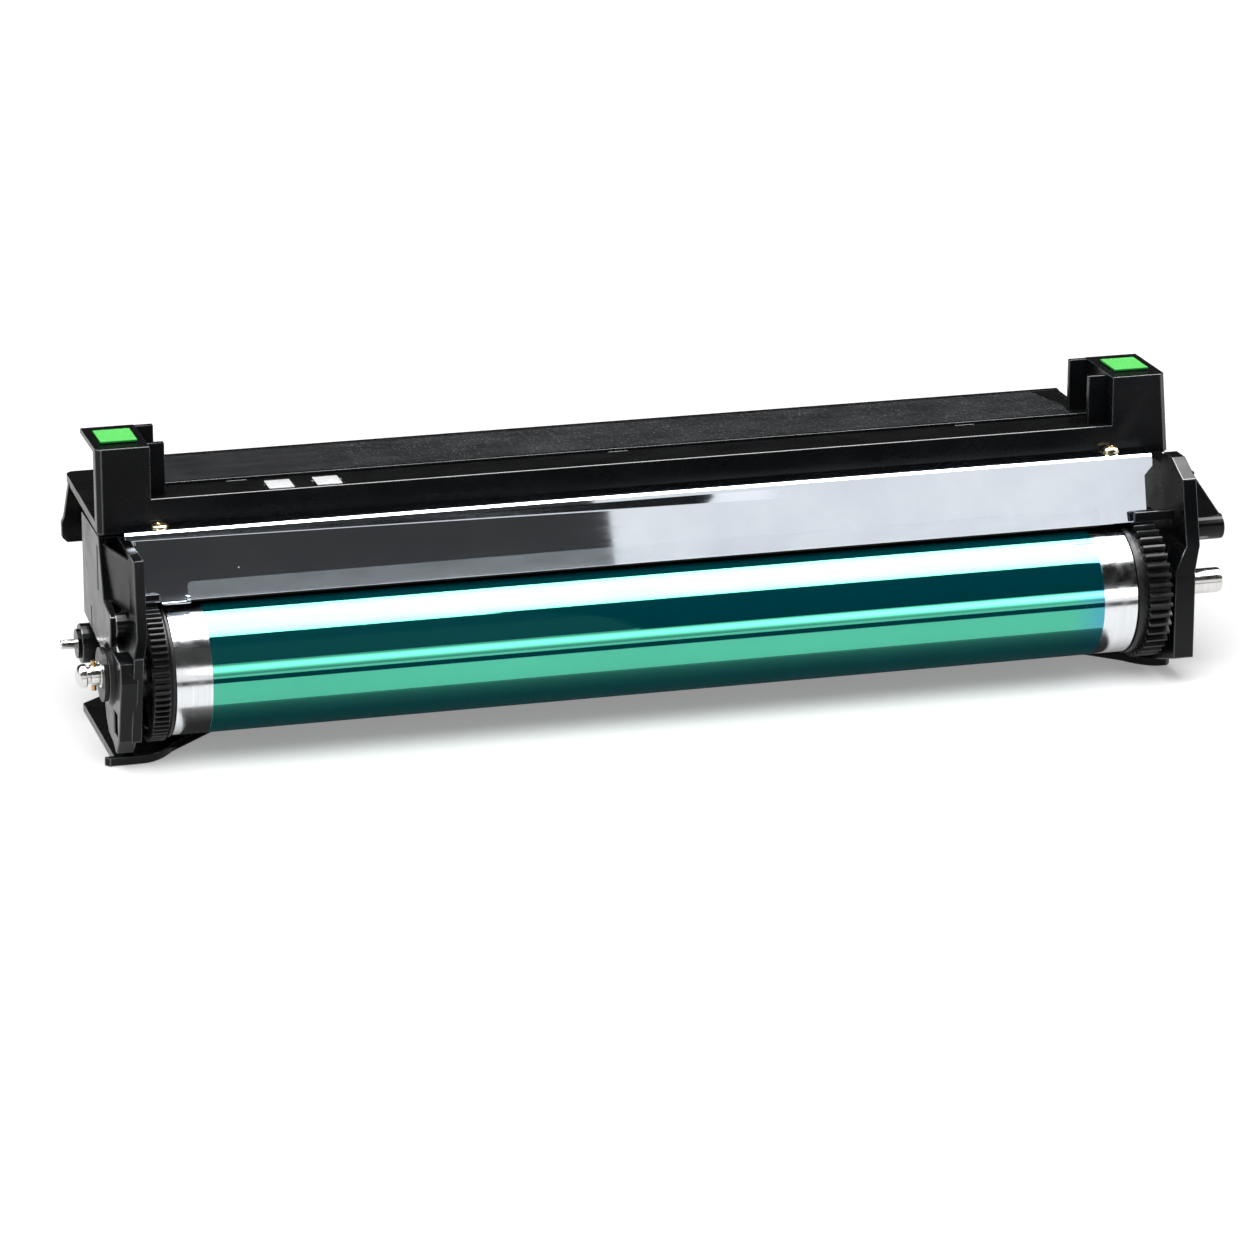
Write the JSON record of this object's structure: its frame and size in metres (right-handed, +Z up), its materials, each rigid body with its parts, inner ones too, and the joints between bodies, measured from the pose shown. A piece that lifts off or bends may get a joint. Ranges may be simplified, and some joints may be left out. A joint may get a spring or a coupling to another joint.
{
  "type": "printer drum unit",
  "caption": "Photoconductor drum with gears and axle, carried by end plates on a waste toner housing with cleaning blade, charge roller and auger.",
  "frame": {"origin": "under the middle of the housing, on the plane that its base stands on", "axes": "+X along the drum from the plain axle nose to the stub side, +Y from the drum to the back of the housing, +Z up"},
  "size_m": [0.2741, 0.0665, 0.0712],
  "materials": {
    "black_moulding": "satin black injection moulding",
    "green_coated_tube": "glossy green photoconductor coating on aluminium",
    "black_gear": "matt black acetal",
    "steel": "bright ground or plated steel",
    "zinc_sheet": "zinc-plated sheet",
    "brass": "plain brass",
    "blade_rubber": "amber polyurethane",
    "clear_film": "clear polyester film",
    "felt": "dark felt",
    "green_foam": "fine green foam",
    "white_pad": "white film",
    "roller_rubber": "smooth black conductive rubber",
    "white_moulding": "natural acetal"
  },
  "bodies": {
    "housing": {"main_frame": "black_moulding", "top_lid": "black_moulding", "left_end_plate": "black_moulding", "right_end_plate": "black_moulding", "auger_bush": "black_moulding", "left_bush": "white_moulding", "right_bush": "white_moulding", "blade_bracket": "zinc_sheet", "cleaning_blade": "blade_rubber", "blade_film": "clear_film", "lip_film": "clear_film", "blade_screw_left": "steel", "blade_screw_right": "steel", "plate_screw_left_upper": "steel", "plate_screw_left_lower": "steel", "plate_screw_right_upper": "steel", "plate_screw_right_lower": "steel", "felt_seal_left": "felt", "felt_seal_right": "felt", "sensor_pad_1": "white_pad", "sensor_pad_2": "white_pad", "green_pad_left": "green_foam", "green_pad_right": "green_foam", "charge_bearing_left": "white_moulding", "charge_bearing_right": "white_moulding", "charge_spring_left": "steel", "charge_spring_right": "steel"},
    "drum": {"drum_tube": "green_coated_tube", "left_gear_flange": "black_gear", "right_gear_flange": "black_gear", "drum_axle": "steel", "axle_cross_pin": "brass"},
    "idler": {"idler_gear": "white_moulding"},
    "auger": {"auger_screw": "white_moulding", "auger_shaft": "steel", "auger_gear": "white_moulding"},
    "charge_roller": {"charge_core": "steel", "charge_sleeve": "roller_rubber"}
  },
  "joints": [
    {"name": "drum_spin", "type": "hinge", "parent": "housing", "child": "drum", "pos_m": [0, -0.0295, 0.0205], "axis": [1, 0, 0], "continuous": true},
    {"name": "idler_spin", "type": "hinge", "parent": "housing", "child": "idler", "pos_m": [0, -0.00953, 0.02091], "axis": [1, 0, 0], "continuous": true},
    {"name": "auger_spin", "type": "hinge", "parent": "housing", "child": "auger", "pos_m": [0, 0.00028, 0.0185], "axis": [1, 0, 0], "continuous": true},
    {"name": "charge_spin", "type": "hinge", "parent": "housing", "child": "charge_roller", "pos_m": [0, -0.01228, 0.00974], "axis": [1, 0, 0], "continuous": true}
  ],
  "couplings": [
    {"joint": "idler_spin", "follows": "drum_spin", "ratio": -3.4737},
    {"joint": "auger_spin", "follows": "drum_spin", "ratio": 2.75},
    {"joint": "charge_spin", "follows": "drum_spin", "ratio": -3}
  ]
}
